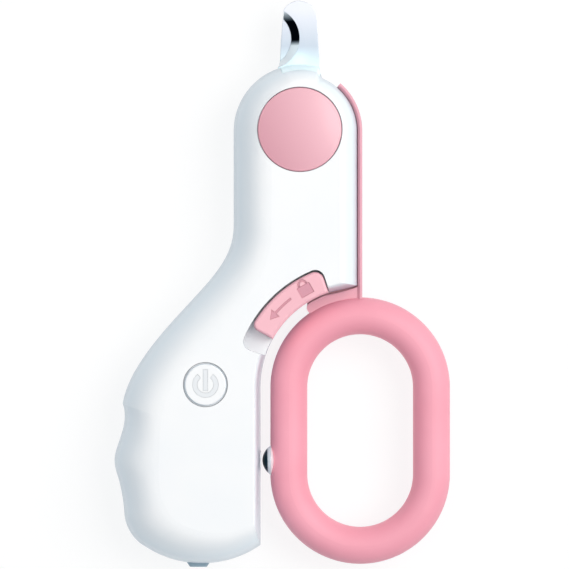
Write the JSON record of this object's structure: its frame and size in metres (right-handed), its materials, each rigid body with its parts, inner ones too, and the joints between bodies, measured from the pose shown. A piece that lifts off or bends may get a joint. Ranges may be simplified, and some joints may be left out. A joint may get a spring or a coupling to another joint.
{
  "type": "scissor nail clipper",
  "caption": "Pet nail clipper with a white grip body, a pink lever with a rubber finger ring, notched shear blades, a lamp, a power button and a slide lock.",
  "frame": {"origin": "On the pivot axis, in the plane of the flat back face the clipper lies on.", "axes": "+Z is the front face and the pivot axis, +Y points to the blade tips, +X to the finger ring."},
  "size_m": [0.0771, 0.1301, 0.0207],
  "materials": {
    "body_white": "smooth semi-gloss white",
    "cap_pink": "satin pink",
    "arm_pink": "satin pink",
    "ring_rubber": "soft matt pink",
    "blade_steel": "fine ground",
    "steel": "turned",
    "spring_steel": "drawn wire",
    "chrome": "polished",
    "lens_frost": "frosted",
    "led_yellow": "phosphor",
    "board_green": "solder mask",
    "switch_black": "moulded",
    "cell_silver": "foil pouch",
    "foam_grey": "foam",
    "plug_grey": "soft matt blue-grey",
    "pad_white": "soft matt",
    "pom_white": "moulded",
    "wire_red": "insulation",
    "brass": "turned"
  },
  "bodies": {
    "grip": {"front_shell": "body_white", "back_shell": "body_white", "shell_screws": "steel", "fixed_blade": "blade_steel", "blade_locating_pins": "steel", "pivot_bolt": "steel", "pivot_nut": "steel", "thrust_washer": "pom_white", "front_pivot_cap": "cap_pink", "back_pivot_cap": "cap_pink", "return_spring": "spring_steel", "led_lens": "lens_frost", "led_chip": "led_yellow", "led_board": "board_green", "led_wires": "wire_red", "control_board": "board_green", "board_screws": "steel", "tact_switch": "switch_black", "battery_cell": "cell_silver", "battery_pad": "foam_grey", "usb_socket": "steel", "bumper_pad": "pad_white", "lock_detent_spring": "spring_steel"},
    "lever": {"lever_arm": "arm_pink", "lever_cover": "arm_pink", "finger_ring": "ring_rubber", "moving_blade": "blade_steel", "blade_rivets": "steel", "pivot_bush": "brass", "stop_stud": "chrome"},
    "lock": {"lock_slider": "cap_pink", "lock_retainer": "pom_white", "lock_screw": "steel"},
    "button": {"power_button": "body_white", "switch_plunger": "pom_white"},
    "plug": {"port_plug": "plug_grey"}
  },
  "joints": [
    {"name": "lever_pivot", "type": "hinge", "parent": "grip", "child": "lever", "pos_m": [0, 0, 0.01], "axis": [0, 0, 1], "range_deg": [0, 16.5]},
    {"name": "lock_slide", "type": "hinge", "parent": "grip", "child": "lock", "pos_m": [0.0139, -0.0589, 0.0178], "axis": [0, 0, 1], "range_deg": [0, 8.5]},
    {"name": "power_button_press", "type": "slide", "parent": "grip", "child": "button", "axis": [0, 0, -1], "range_m": [0, 0.0004], "stiffness_N_per_m": 1000},
    {"name": "port_plug_pull", "type": "slide", "parent": "grip", "child": "plug", "axis": [0, -1, 0], "range_m": [0, 0.006]}
  ]
}
